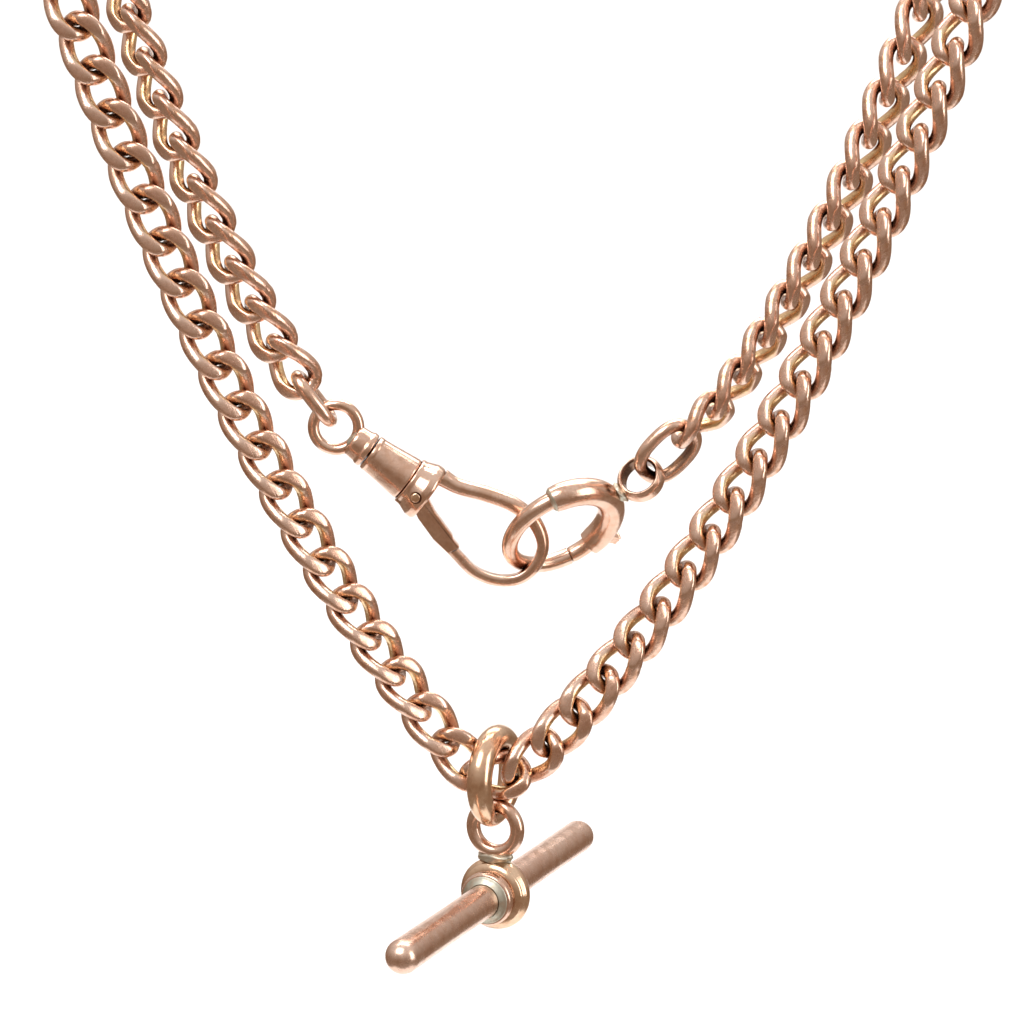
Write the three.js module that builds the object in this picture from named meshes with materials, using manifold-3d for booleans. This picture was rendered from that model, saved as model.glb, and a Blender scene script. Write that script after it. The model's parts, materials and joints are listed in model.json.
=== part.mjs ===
// Double Albert pocket watch chain, hanging doubled over two pins.
// Millimetres, +Z up, +X to the right of the wearer's view, -Y towards the viewer.
// The origin is the middle of the hang line, level with the axes of the two pins.
import * as THREE from 'three';
import { mergeVertices } from 'three/addons/utils/BufferGeometryUtils.js';
import Module from 'manifold-3d';

const wasm = await Module();
wasm.setup();

// ---------------------------------------------------------------- driving dimensions

const GAP = 0.06;                 // clearance left between pieces that touch

const LINK = { pitch: 3.8, wire: 0.63, halfWidth: 1.56, crown: 0.82, steps: 12, sides: 6 };
const RUN_LINK = { overlap: 0.34, steps: 10, sides: 5 };   // joined links run into each other
const FOLD_MARGIN = 2;            // hanging links, on each side of a fold, that stay with it

const HANG = { outerY: -2.6, innerY: 2.6 };      // the two swags hang in parallel planes

// Catenaries of the four strands: z = base + sag * (cosh((x - vertexX) / sag) - 1)
const STRANDS = {
  outerLeft: { vertexX: 39.74, sag: 42.17, base: -102.51, y: HANG.outerY, side: -1 },
  outerRight: { vertexX: -37.71, sag: 43.76, base: -96.29, y: HANG.outerY, side: 1 },
  innerLeft: { vertexX: 9.89, sag: 22.84, base: -64.73, y: HANG.innerY, side: -1 },
  innerRight: { vertexX: -8.73, sag: 24.24, base: -63.12, y: HANG.innerY, side: 1 },
};
// Turn of each strand's flat side about its own length, in degrees, low end then high end
const TWIST = {
  outerLeft: [45, -10],
  outerRight: [-32, -56],
  innerLeft: [-28, -62],
  innerRight: [60, 30],
};
const MAX_TWIST_STEP = 14;        // most that one link turns against the next, in degrees

const MIDDLE_LINK = { x: -1.42, z: -78.6 };     // the level link that carries the T-bar ring
const MIDDLE_SLACK = { x: 0.1, y: 0.2, turn: 10 };   // how its two neighbours settle inside its ends

const T_RING = { x: -1.44, z: -78.67, outer: 4.45, tube: 1.09, wornTube: 0.56, turn: 23.8 };
const T_LOOP = { radius: 2.08, wire: 0.62, z: -83.37 };
const T_BAR = { z: -89.23, length: 40, radius: 1.475, turn: 23.8 };
const COLLAR = { bead: 3.2, beadHalf: 1.15, ring: 2.4, ringWidth: 1.05, bore: 1.54 };

// Dog clip: s runs along its axis from the eye to the hook, t across it, upwards
const CLIP = { eyeX: -15.16, eyeZ: -49.04, slope: -36.5 };
const CLIP_EYE = { radius: 1.95, wire: 0.5 };
const CLIP_CAP = { start: 1.75, end: 3.52, startRadius: 1.42, endRadius: 1.6 };
const BARREL = { start: 3.6, step: 7.7, end: 9.9, startRadius: 1.62, stepRadius: 2.02, tailRadius: 1.86 };
const BARREL_WALL = 0.42;
const FERRULE = { start: 7.76, end: 9.95, startRadius: 2.16, rimRadius: 2.6, bore: 1.92 };
const SWIVEL_PIN = { radius: 0.5, head: 0.95, headAt: 4.75, headThick: 0.45 };
const GATE_PIVOT = { s: 8.97, t: -0.53, radius: 0.42 };
const GATE_SLOT = { low: -3.2, high: 1.15, start: 8.1, halfWidth: 0.8 };
const GATE_HALF = 0.66;
const HOOK_SECTION = { half: 0.64, flat: 0.42 };
const HOOK_ROUTE = [
  [10.02, 1.86], [11.4, 2.02], [14.1, 3.02], [16.4, 3.62], [18.6, 3.46], [20.34, 2.3], [20.94, 0.5],
  [20.56, -1.2], [19.1, -2.5], [17.1, -3.05], [14.95, -2.72],
];
const GATE_OUTLINE = [
  [8.0, -0.3], [8.55, 0.18], [9.4, 0.12], [11.2, -0.85], [14.82, -2.02], [14.28, -3.2], [12.6, -2.92],
  [10.4, -2.2], [8.7, -1.25],
];

const JUMP_LINK = { wire: 0.6, halfWidth: 1.45, turn: 90 };
const OVAL_LINK = { wire: 0.58, halfWidth: 2.1, inner: 4.0, slope: 46, turn: 34, clear: 0.15 };

// Bolt ring: angles are measured in its plane from the eye, towards the viewer's side
const BOLT_RING = { x: 4.22, z: -57.95, slope: 32.2, tilt: 49, radius: 4.82 };
const BOLT_TUBE = { outer: 1.2, bore: 0.9, from: -77, to: 77 };
const BOLT_WIRE = { radius: 0.76, from: 79, to: 258 };
const BOLT = { radius: 0.73, from: -99.5, to: -48 };
const BOLT_SPRING = { radius: 0.55, wire: 0.16, from: -44, to: 40, turns: 7 };
const BOLT_LUG = { angle: -62, width: 1.0, height: 1.0 };
const BOLT_EYE = { distance: 8.18, outer: 2.1, inner: 1.5, width: 1.7, turn: -41 };

const GOLD = { color: 0xc98a68, metalness: 1.0, roughness: 0.28 };
const YELLOW_GOLD = { color: 0xc9a06c, metalness: 1.0, roughness: 0.3 };
const STEEL = { color: 0x8d8880, metalness: 1.0, roughness: 0.4 };

const Z_AXIS = new THREE.Vector3(0, 0, 1);
const degrees = THREE.MathUtils.degToRad;

// ---------------------------------------------------------------- solids and booleans

function toSolid(geometry) {
  const bare = geometry.index ? geometry.clone() : geometry;
  bare.deleteAttribute('normal');
  bare.deleteAttribute('uv');
  const merged = mergeVertices(bare, 1e-4);
  const vertProperties = new Float32Array(merged.attributes.position.array);
  const triVerts = new Uint32Array(merged.index.array);
  return new wasm.Manifold(new wasm.Mesh({ numProp: 3, vertProperties, triVerts }));
}

function toGeometry(solid) {
  const mesh = solid.getMesh();
  const geometry = new THREE.BufferGeometry();
  geometry.setAttribute('position', new THREE.BufferAttribute(new Float32Array(mesh.vertProperties), 3));
  geometry.setIndex(new THREE.BufferAttribute(new Uint32Array(mesh.triVerts), 1));
  geometry.computeVertexNormals();
  return geometry;
}

const join = (parts) => toGeometry(parts.map(toSolid).reduce((a, b) => a.add(b)));
const cut = (body, tools) => toGeometry(tools.map(toSolid).reduce((a, b) => a.subtract(b), toSolid(body)));

const chain = new THREE.Group();

function addPiece(parent, name, geometry, finish) {
  const mesh = new THREE.Mesh(geometry, new THREE.MeshStandardMaterial(finish));
  mesh.name = name;
  parent.add(mesh);
  return mesh;
}

// Round solid about the local X axis, from [x, radius] points
function turned(profile, segments) {
  const points = profile.map(([x, radius]) => new THREE.Vector2(radius, x));
  return new THREE.LatheGeometry(points, segments).rotateZ(-Math.PI / 2);
}

// Rod along the local Y axis
function crossRod(radius, length, segments = 10) {
  return new THREE.CylinderGeometry(radius, radius, length, segments);
}

// ---------------------------------------------------------------- links

// Centre line of a curb link: an oval along Y whose ends are twisted opposite ways
class LinkCurve extends THREE.Curve {
  constructor(lowLength, highLength, halfWidth, crown) {
    super();
    Object.assign(this, { lowLength, highLength, halfWidth, crown });
  }

  getPoint(u, target = new THREE.Vector3()) {
    const angle = 2 * Math.PI * u;
    const reach = angle < Math.PI ? this.highLength : this.lowLength;
    return target.set(
      this.halfWidth * Math.cos(angle),
      reach * Math.sin(angle),
      this.crown * Math.sin(2 * angle),
    );
  }
}

// Each end either clears its neighbour or, in a joined run, is soldered into it
function curbLink(steps, sides, lowJoined = false, highJoined = false) {
  const reach = (joined) => LINK.pitch / 2 + LINK.wire + (joined ? -RUN_LINK.overlap : GAP) / 2;
  const curve = new LinkCurve(reach(lowJoined), reach(highJoined), LINK.halfWidth, LINK.crown);
  return new THREE.TubeGeometry(curve, steps, LINK.wire, sides, true);
}

// Centre line of a plain link: a flat oval along Y with full, round ends
class OvalCurve extends THREE.Curve {
  constructor(halfLength, halfWidth) {
    super();
    Object.assign(this, { halfLength, halfWidth });
  }

  getPoint(u, target = new THREE.Vector3()) {
    const full = (value) => Math.sign(value) * Math.abs(value) ** 0.8;
    const angle = 2 * Math.PI * u;
    return target.set(this.halfWidth * full(Math.cos(angle)), this.halfLength * full(Math.sin(angle)), 0);
  }
}

function plainLink(innerLength, shape) {
  const halfLength = innerLength / 2 + shape.wire + 2 * GAP;
  return new THREE.TubeGeometry(new OvalCurve(halfLength, shape.halfWidth), 16, shape.wire, 6, true);
}

// Frame of a link that lies between two contact points, its flat side facing `face`
function linkMatrix(from, to, face) {
  const along = new THREE.Vector3().subVectors(to, from).normalize();
  const across = new THREE.Vector3().crossVectors(along, face).normalize();
  const normal = new THREE.Vector3().crossVectors(across, along);
  const matrix = new THREE.Matrix4().makeBasis(across, along, normal);
  return matrix.setPosition(new THREE.Vector3().addVectors(from, to).multiplyScalar(0.5));
}

// ---------------------------------------------------------------- routes of the strands

const catenaryZ = (strand, x) => strand.base + strand.sag * (Math.cosh((x - strand.vertexX) / strand.sag) - 1);

function catenaryX(strand, z) {
  const arc = Math.acosh((z - strand.base) / strand.sag + 1);
  return strand.vertexX + strand.side * strand.sag * arc;
}

// Points up one strand, from x = startX to the height of its fold
function strandPoints(strand, startX, foldZ) {
  const endX = catenaryX(strand, foldZ);
  const count = 600;
  return Array.from({ length: count + 1 }, (_, i) => {
    const x = startX + (endX - startX) * (i / count);
    return new THREE.Vector3(x, strand.y, catenaryZ(strand, x));
  });
}

// Half turn over a pin, from the outer strand's top to the inner strand's top
function foldPoints(from, to) {
  const middle = new THREE.Vector3().addVectors(from, to).multiplyScalar(0.5);
  const reach = new THREE.Vector3().subVectors(from, middle);
  const radius = reach.length();
  return Array.from({ length: 101 }, (_, i) => {
    const angle = (Math.PI * i) / 100;
    return middle.clone().addScaledVector(reach, Math.cos(angle)).addScaledVector(Z_AXIS, radius * Math.sin(angle));
  });
}

// Contact points one pitch apart along a route, from its first point
function contacts(route, pitch) {
  const found = [route[0]];
  let last = route[0];
  for (let i = 1; i < route.length; i += 1) {
    while (route[i].distanceTo(last) >= pitch) {
      const a = route[i - 1];
      const b = route[i];
      let low = 0;
      let high = 1;
      for (let k = 0; k < 40; k += 1) {
        const mid = (low + high) / 2;
        if (a.clone().lerp(b, mid).distanceTo(last) < pitch) low = mid;
        else high = mid;
      }
      last = a.clone().lerp(b, high);
      found.push(last);
    }
  }
  return found;
}

// Whole route of one half of the chain, from the middle link to the hardware at its end
function halfRoute(outer, inner, start, end, foldZ) {
  const clear = LINK.pitch * 0.8 * outer.side;
  const up = strandPoints(outer, start.x + clear, foldZ);
  const down = strandPoints(inner, end.x + inner.side * 0.6, foldZ).reverse();
  return [start, ...up, ...foldPoints(up[up.length - 1], down[0]), ...down, end];
}

// The fold is raised until a whole number of links reaches the end exactly
function fitHalf(outer, inner, start, end, linkCount) {
  let low = -10;
  let high = 6;
  for (let k = 0; k < 40; k += 1) {
    const middle = (low + high) / 2;
    const stops = contacts(halfRoute(outer, inner, start, end, middle), LINK.pitch);
    if (stops.length - 1 < linkCount) low = middle;
    else high = middle;
  }
  const route = halfRoute(outer, inner, start, end, high);
  return { foldZ: high, stops: contacts(route, LINK.pitch).slice(0, linkCount + 1) };
}

// ---------------------------------------------------------------- faces of the links

function turnFace(face, along, angle) {
  return face.clone().applyAxisAngle(along, angle);
}

// Each link's flat side: twisted along the hanging strands, square to the pin over the fold
function linkFaces(stops, outerTwist, innerTwist, foldZ) {
  const count = stops.length - 1;
  const top = stops.findIndex((stop) => stop.z >= foldZ);
  const back = stops.length - 1 - [...stops].reverse().findIndex((stop) => stop.z >= foldZ);
  const wanted = [];
  for (let i = 0; i < count; i += 1) {
    const along = new THREE.Vector3().subVectors(stops[i + 1], stops[i]).normalize();
    if (i >= top && i < back) {
      const centre = new THREE.Vector3().addVectors(stops[top], stops[back]).multiplyScalar(0.5);
      const middle = new THREE.Vector3().addVectors(stops[i], stops[i + 1]).multiplyScalar(0.5);
      wanted.push({ along, face: middle.sub(centre).projectOnPlane(along).normalize() });
    } else {
      const low = i < top ? i / top : (count - 1 - i) / (count - back);
      const [start, end] = i < top ? outerTwist : innerTwist;
      const angle = i === 0 ? MIDDLE_SLACK.turn : start + (end - start) * low;
      // the chain is followed upwards on the outer strand and downwards on the inner one
      const front = i < top ? new THREE.Vector3(0, -1, 0) : new THREE.Vector3(0, 1, 0);
      const turn = i < top ? angle : -angle;
      wanted.push({ along, face: turnFace(front, along, degrees(turn)) });
    }
  }
  return wanted;
}

// Signed turn about `along` that takes one face to another
function turnBetween(from, to, along) {
  const a = from.clone().projectOnPlane(along).normalize();
  const b = to.clone().projectOnPlane(along).normalize();
  const angle = Math.atan2(new THREE.Vector3().crossVectors(a, b).dot(along), a.dot(b));
  return angle;
}

// No link turns against the next by more than the links allow: relaxed from the hanging ends
function limitTwist(wanted) {
  const limit = degrees(MAX_TWIST_STEP);
  for (let pass = 0; pass < 60; pass += 1) {
    for (let i = 1; i < wanted.length; i += 1) {
      const before = wanted[i - 1];
      const here = wanted[i];
      // a half turn of the flat side gives the same link, so the nearer one counts
      let turn = turnBetween(before.face, here.face, here.along);
      if (Math.abs(turn) > Math.PI / 2) {
        here.face.negate();
        turn = turnBetween(before.face, here.face, here.along);
      }
      const excess = Math.sign(turn) * Math.max(0, Math.abs(turn) - limit);
      // the first and the last link keep their turn, which suits the piece they hang on
      const share = i === 1 ? 1 : 0.5;
      const hereShare = i === wanted.length - 1 ? 0 : share;
      here.face.applyAxisAngle(here.along, -excess * hereShare);
      before.face.applyAxisAngle(before.along, excess * (1 - hereShare));
    }
  }
  return wanted;
}

// ---------------------------------------------------------------- the chain's two halves

const looseLink = curbLink(LINK.steps, LINK.sides);

function layHalf(stops, faces, plan) {
  const matrices = faces.map((entry, i) => linkMatrix(stops[i], stops[i + 1], entry.face));
  for (const [name, first, last] of plan) {
    if (first === last) {
      const mesh = addPiece(chain, name, looseLink.clone(), GOLD);
      matrices[first].decompose(mesh.position, mesh.quaternion, mesh.scale);
    } else {
      const links = matrices.slice(first, last + 1).map((matrix, i) => {
        const link = curbLink(RUN_LINK.steps, RUN_LINK.sides, i > 0, i < last - first);
        return link.applyMatrix4(matrix);
      });
      addPiece(chain, name, join(links), GOLD);
    }
  }
}

// Which links are nodes of their own and which are joined, counted from the middle link
function planHalf(side, stops, foldZ) {
  const count = stops.length - 1;
  const top = stops.findIndex((stop) => stop.z >= foldZ);
  const back = count - [...stops].reverse().findIndex((stop) => stop.z >= foldZ);
  const outerCount = top - FOLD_MARGIN;
  const innerStart = back + FOLD_MARGIN;
  const third = Math.round(outerCount / 3);
  const half = Math.round((count - innerStart) / 2);
  const outerLower = [[0, 0], [1, 1], [2, third - 2], [third - 1, third - 1]];
  const outerMiddle = [[third, third], [third + 1, 2 * third - 2], [2 * third - 1, 2 * third - 1]];
  const outerUpper = [[2 * third, 2 * third], [2 * third + 1, outerCount - 2], [outerCount - 1, outerCount - 1]];
  const innerMiddle = innerStart + half;
  const innerUpper = [[innerStart, innerStart], [innerStart + 1, innerMiddle - 2], [innerMiddle - 1, innerMiddle - 1]];
  const innerLower = [[innerMiddle, innerMiddle], [innerMiddle + 1, count - 2], [count - 1, count - 1]];
  const groups = { outer_lower: outerLower, outer_middle: outerMiddle, outer_upper: outerUpper };
  Object.assign(groups, { fold: [[outerCount, innerStart - 1]], inner_upper: innerUpper, inner_lower: innerLower });
  const plan = [];
  for (const [group, ranges] of Object.entries(groups)) {
    for (const [first, last] of ranges) {
      const label = first === last ? `link_${first + 1}` : `links_${first + 1}_to_${last + 1}`;
      plan.push([`${group}_${side}_${label}`, first, last]);
    }
  }
  return plan;
}

const eyeCentre = new THREE.Vector3(CLIP.eyeX, HANG.innerY, CLIP.eyeZ);
const ringCentre = new THREE.Vector3(BOLT_RING.x, HANG.innerY, BOLT_RING.z);
const ringSlope = degrees(BOLT_RING.slope);
const ringTilt = degrees(BOLT_RING.tilt);
const ringAcross = new THREE.Vector3(Math.cos(ringSlope), 0, Math.sin(ringSlope));
const ringAside = new THREE.Vector3(
  -Math.sin(ringSlope) * Math.cos(ringTilt),
  -Math.sin(ringTilt),
  Math.cos(ringSlope) * Math.cos(ringTilt),
);
const ringNormal = new THREE.Vector3().crossVectors(ringAcross, ringAside);
const ringEyeCentre = ringCentre.clone().addScaledVector(ringAcross, BOLT_EYE.distance);

// The jump link and the oval link stand between the eyes and the curb links
const jumpDirection = new THREE.Vector3(-0.6, 0, 0.8).normalize();
const jumpLow = eyeCentre.clone().addScaledVector(jumpDirection, CLIP_EYE.radius - CLIP_EYE.wire);
const jumpHigh = jumpLow.clone().addScaledVector(jumpDirection, 3.3);
const ovalSlope = degrees(OVAL_LINK.slope);
const ovalDirection = new THREE.Vector3(Math.cos(ovalSlope), 0, Math.sin(ovalSlope));
const ovalLow = ringEyeCentre.clone().addScaledVector(ovalDirection, BOLT_EYE.inner - OVAL_LINK.clear);
const ovalHigh = ovalLow.clone().addScaledVector(ovalDirection, OVAL_LINK.inner);

const middleReach = new THREE.Vector3(LINK.pitch / 2, 0, 0);
const middleCentre = new THREE.Vector3(MIDDLE_LINK.x, HANG.outerY, MIDDLE_LINK.z);
const middleFrom = middleCentre.clone().sub(middleReach);
const middleTo = middleCentre.clone().add(middleReach);
const settle = new THREE.Vector3(MIDDLE_SLACK.x, -MIDDLE_SLACK.y, 0);

const middleLink = addPiece(chain, 'middle_link', looseLink.clone(), GOLD);
const middleMatrix = linkMatrix(middleFrom, middleTo, new THREE.Vector3(0, -1, 0));
middleMatrix.decompose(middleLink.position, middleLink.quaternion, middleLink.scale);

const HALVES = [
  { side: 'left', outer: 'outerLeft', inner: 'innerLeft', start: middleFrom.add(settle), end: jumpHigh, links: 38 },
  { side: 'right', outer: 'outerRight', inner: 'innerRight', start: middleTo.sub(settle), end: ovalHigh, links: 41 },
];
for (const half of HALVES) {
  const { stops, foldZ } = fitHalf(STRANDS[half.outer], STRANDS[half.inner], half.start, half.end, half.links);
  const faces = limitTwist(linkFaces(stops, TWIST[half.outer], TWIST[half.inner], foldZ));
  layHalf(stops, faces, planHalf(half.side, stops, foldZ));
}

// ---------------------------------------------------------------- links at the hardware

function addPlainLink(name, low, high, shape) {
  const face = new THREE.Vector3(0, -1, 0);
  const along = new THREE.Vector3().subVectors(high, low).normalize();
  const mesh = addPiece(chain, name, plainLink(low.distanceTo(high), shape), GOLD);
  const matrix = linkMatrix(low, high, turnFace(face, along, degrees(shape.turn)));
  matrix.decompose(mesh.position, mesh.quaternion, mesh.scale);
}

addPlainLink('jump_link', jumpLow, jumpHigh, JUMP_LINK);
addPlainLink('oval_link', ovalLow, ovalHigh, OVAL_LINK);

// ---------------------------------------------------------------- dog clip

const clip = new THREE.Group();
clip.position.copy(eyeCentre);
clip.rotation.y = -degrees(CLIP.slope);
chain.add(clip);

// In the clip's group local x is s, local z is t and local y is the depth
const clipEye = new THREE.TorusGeometry(CLIP_EYE.radius, CLIP_EYE.wire, 8, 18).rotateX(Math.PI / 2);
addPiece(clip, 'clip_eye', clipEye, GOLD);

const eyeClearance = new THREE.TorusGeometry(CLIP_EYE.radius, CLIP_EYE.wire + GAP, 8, 18).rotateX(Math.PI / 2);
const capBody = turned(
  [[CLIP_CAP.start, 0], [CLIP_CAP.start, CLIP_CAP.startRadius], [CLIP_CAP.end, CLIP_CAP.endRadius], [CLIP_CAP.end, 0]],
  16,
);
const swivelHole = crossRod(SWIVEL_PIN.radius + GAP, 6).rotateZ(Math.PI / 2).translate(5.9, 0, 0);
addPiece(clip, 'clip_swivel_cap', cut(capBody, [eyeClearance, swivelHole]), GOLD);

const swivelPin = turned(
  [
    [2.95, 0],
    [2.95, SWIVEL_PIN.radius],
    [SWIVEL_PIN.headAt, SWIVEL_PIN.radius],
    [SWIVEL_PIN.headAt, SWIVEL_PIN.head],
    [SWIVEL_PIN.headAt + SWIVEL_PIN.headThick, SWIVEL_PIN.head],
    [SWIVEL_PIN.headAt + SWIVEL_PIN.headThick, 0],
  ],
  10,
);
addPiece(clip, 'clip_swivel_pin', swivelPin, YELLOW_GOLD);

const barrelInner = BARREL.startRadius - BARREL_WALL;
const barrelShell = turned(
  [
    [BARREL.start, SWIVEL_PIN.radius + GAP],
    [BARREL.start, BARREL.startRadius],
    [5.2, 1.72],
    [BARREL.step, BARREL.stepRadius],
    [BARREL.step, BARREL.tailRadius],
    [BARREL.end, BARREL.tailRadius],
    [BARREL.end, BARREL.tailRadius - BARREL_WALL],
    [BARREL.step, BARREL.tailRadius - BARREL_WALL],
    [SWIVEL_PIN.headAt - GAP, barrelInner],
    [SWIVEL_PIN.headAt - GAP, SWIVEL_PIN.radius + GAP],
    [BARREL.start, SWIVEL_PIN.radius + GAP],
  ],
  14,
);
const slotLength = BARREL.end + 1 - GATE_SLOT.start;
const slotHeight = GATE_SLOT.high - GATE_SLOT.low;
const gateSlot = new THREE.BoxGeometry(slotLength, 2 * GATE_SLOT.halfWidth, slotHeight).translate(
  GATE_SLOT.start + slotLength / 2,
  0,
  GATE_SLOT.low + slotHeight / 2,
);
const pivotHole = crossRod(GATE_PIVOT.radius + GAP, 8).translate(GATE_PIVOT.s, 0, GATE_PIVOT.t);
addPiece(clip, 'clip_barrel', cut(barrelShell, [gateSlot, pivotHole]), GOLD);

const ferrule = turned(
  [
    [FERRULE.start, FERRULE.bore],
    [FERRULE.start, FERRULE.startRadius],
    [8.25, 2.22],
    [9.2, FERRULE.rimRadius],
    [FERRULE.end, FERRULE.rimRadius - 0.1],
    [FERRULE.end, FERRULE.bore],
    [FERRULE.start, FERRULE.bore],
  ],
  14,
);
addPiece(clip, 'clip_ferrule', cut(ferrule, [gateSlot, pivotHole]), GOLD);

const gatePin = crossRod(GATE_PIVOT.radius, 2 * 2.36).translate(GATE_PIVOT.s, 0, GATE_PIVOT.t);
addPiece(clip, 'clip_gate_pin', gatePin, YELLOW_GOLD);

// An outline in (s, t), given depth across the clip and centred on its middle plane
function plate(outline, halfDepth) {
  const shape = new THREE.Shape(outline.map(([s, t]) => new THREE.Vector2(s, t)));
  const solid = new THREE.ExtrudeGeometry(shape, { depth: 2 * halfDepth, bevelEnabled: false });
  return solid.translate(0, 0, -halfDepth).rotateX(Math.PI / 2);
}

const gateBlank = plate(GATE_OUTLINE, GATE_HALF);
const gateHole = crossRod(GATE_PIVOT.radius + GAP, 4).translate(GATE_PIVOT.s, 0, GATE_PIVOT.t);
addPiece(clip, 'clip_gate', cut(gateBlank, [gateHole]), GOLD);

// Hook: round outside, flat on the inside of its bend
const hookCurve = new THREE.CatmullRomCurve3(
  HOOK_ROUTE.map(([s, t]) => new THREE.Vector3(s, 0, t)),
  false,
  'centripetal',
);
const { half, flat } = HOOK_SECTION;
const hookSection = new THREE.Shape([
  new THREE.Vector2(-half * 0.8, flat),
  new THREE.Vector2(half * 0.8, flat),
  new THREE.Vector2(half, 0),
  new THREE.Vector2(half * 0.7, -half * 0.7),
  new THREE.Vector2(0, -half),
  new THREE.Vector2(-half * 0.7, -half * 0.7),
  new THREE.Vector2(-half, 0),
]);
const hook = new THREE.ExtrudeGeometry(hookSection, { steps: 22, extrudePath: hookCurve, bevelEnabled: false });
addPiece(clip, 'clip_hook', hook, GOLD);

// Leaf spring inside the barrel, bearing on the gate's tail
const springRoute = new THREE.CatmullRomCurve3(
  [[5.4, -0.95], [6.4, -0.55], [7.3, -0.45], [7.86, -0.62]].map(([s, t]) => new THREE.Vector3(s, 0, t)),
);
const springSection = new THREE.Shape([
  new THREE.Vector2(-0.45, -0.08),
  new THREE.Vector2(0.45, -0.08),
  new THREE.Vector2(0.45, 0.08),
  new THREE.Vector2(-0.45, 0.08),
]);
const leaf = new THREE.ExtrudeGeometry(springSection, { steps: 6, extrudePath: springRoute, bevelEnabled: false });
addPiece(clip, 'clip_gate_spring', leaf, STEEL);

// ---------------------------------------------------------------- bolt ring

const boltRing = new THREE.Group();
boltRing.applyMatrix4(new THREE.Matrix4().makeBasis(ringAcross, ringAside, ringNormal).setPosition(ringCentre));
chain.add(boltRing);

// Part of a ring's tube, between two angles in the ring's plane
function ringArc(fromDegrees, toDegrees, section, steps) {
  const from = degrees(fromDegrees);
  const to = degrees(toDegrees);
  class Arc extends THREE.Curve {
    getPoint(u, target = new THREE.Vector3()) {
      const angle = from + (to - from) * u;
      return target.set(BOLT_RING.radius * Math.cos(angle), BOLT_RING.radius * Math.sin(angle), 0);
    }
  }
  return new THREE.ExtrudeGeometry(section, { steps, extrudePath: new Arc(), bevelEnabled: false });
}

function roundSection(radius, sides, bore = 0) {
  const circle = (r) => Array.from({ length: sides }, (_, i) => {
    const angle = (2 * Math.PI * i) / sides;
    return new THREE.Vector2(r * Math.cos(angle), r * Math.sin(angle));
  });
  const shape = new THREE.Shape(circle(radius));
  if (bore > 0) shape.holes.push(new THREE.Path(circle(bore).reverse()));
  return shape;
}

const tube = ringArc(BOLT_TUBE.from, BOLT_TUBE.to, roundSection(BOLT_TUBE.outer, 8, BOLT_TUBE.bore), 12);
// Slot for the thumb lug, through the tube's outer wall on the side away from the viewer
function lugBox(angleFrom, angleTo, lowRadius, highRadius, width) {
  const middle = degrees((angleFrom + angleTo) / 2);
  const chord = 2 * highRadius * Math.sin(degrees(angleTo - angleFrom) / 2);
  return new THREE.BoxGeometry(highRadius - lowRadius, chord, width)
    .translate((lowRadius + highRadius) / 2, 0, 0)
    .rotateZ(middle);
}
const slotFrom = BOLT_LUG.angle - 7;
const slotTo = BOLT_LUG.angle + 44;
const lugSlots = [0, 1, 2].map((i) => {
  const span = (slotTo - slotFrom) / 3;
  const from = slotFrom + span * i;
  return lugBox(from, from + span, BOLT_RING.radius + 0.5, BOLT_RING.radius + 2, BOLT_LUG.width + 0.3);
});
addPiece(boltRing, 'bolt_ring_tube', cut(tube, lugSlots), GOLD);
addPiece(boltRing, 'bolt_ring_wire', ringArc(BOLT_WIRE.from, BOLT_WIRE.to, roundSection(BOLT_WIRE.radius, 7), 16), GOLD);

const boltRod = ringArc(BOLT.from, BOLT.to, roundSection(BOLT.radius, 7), 5);
const lug = lugBox(BOLT_LUG.angle - 5, BOLT_LUG.angle + 5, BOLT_RING.radius, BOLT_RING.radius + 1.2 + BOLT_LUG.height, BOLT_LUG.width);
addPiece(boltRing, 'bolt_ring_bolt', join([boltRod, lug]), GOLD);

// Band with a flat bore and a rounded outside
const bandHalf = BOLT_EYE.width / 2;
const bandProfile = [
  [-bandHalf * 0.5, BOLT_EYE.inner],
  [-bandHalf, BOLT_EYE.inner + 0.25],
  [-bandHalf * 0.65, BOLT_EYE.outer - 0.12],
  [0, BOLT_EYE.outer],
  [bandHalf * 0.65, BOLT_EYE.outer - 0.12],
  [bandHalf, BOLT_EYE.inner + 0.25],
  [bandHalf * 0.5, BOLT_EYE.inner],
  [-bandHalf * 0.5, BOLT_EYE.inner],
];
const eyePiece = addPiece(boltRing, 'bolt_ring_eye', turned(bandProfile, 16).rotateY(Math.PI / 2), GOLD);
eyePiece.position.set(BOLT_EYE.distance, 0, 0);
eyePiece.rotation.x = degrees(BOLT_EYE.turn - BOLT_RING.tilt);

// Coil spring in the tube, behind the bolt
class SpringCurve extends THREE.Curve {
  getPoint(u, target = new THREE.Vector3()) {
    const along = degrees(BOLT_SPRING.from + (BOLT_SPRING.to - BOLT_SPRING.from) * u);
    const turn = 2 * Math.PI * BOLT_SPRING.turns * u;
    const radius = BOLT_RING.radius + BOLT_SPRING.radius * Math.cos(turn);
    return target.set(radius * Math.cos(along), radius * Math.sin(along), BOLT_SPRING.radius * Math.sin(turn));
  }
}
const coilSteps = BOLT_SPRING.turns * 6;
const coil = new THREE.ExtrudeGeometry(roundSection(BOLT_SPRING.wire, 3), {
  steps: coilSteps,
  extrudePath: new SpringCurve(),
  bevelEnabled: false,
});
addPiece(boltRing, 'bolt_ring_spring', coil, STEEL);

// ---------------------------------------------------------------- T-bar and its ring

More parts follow.
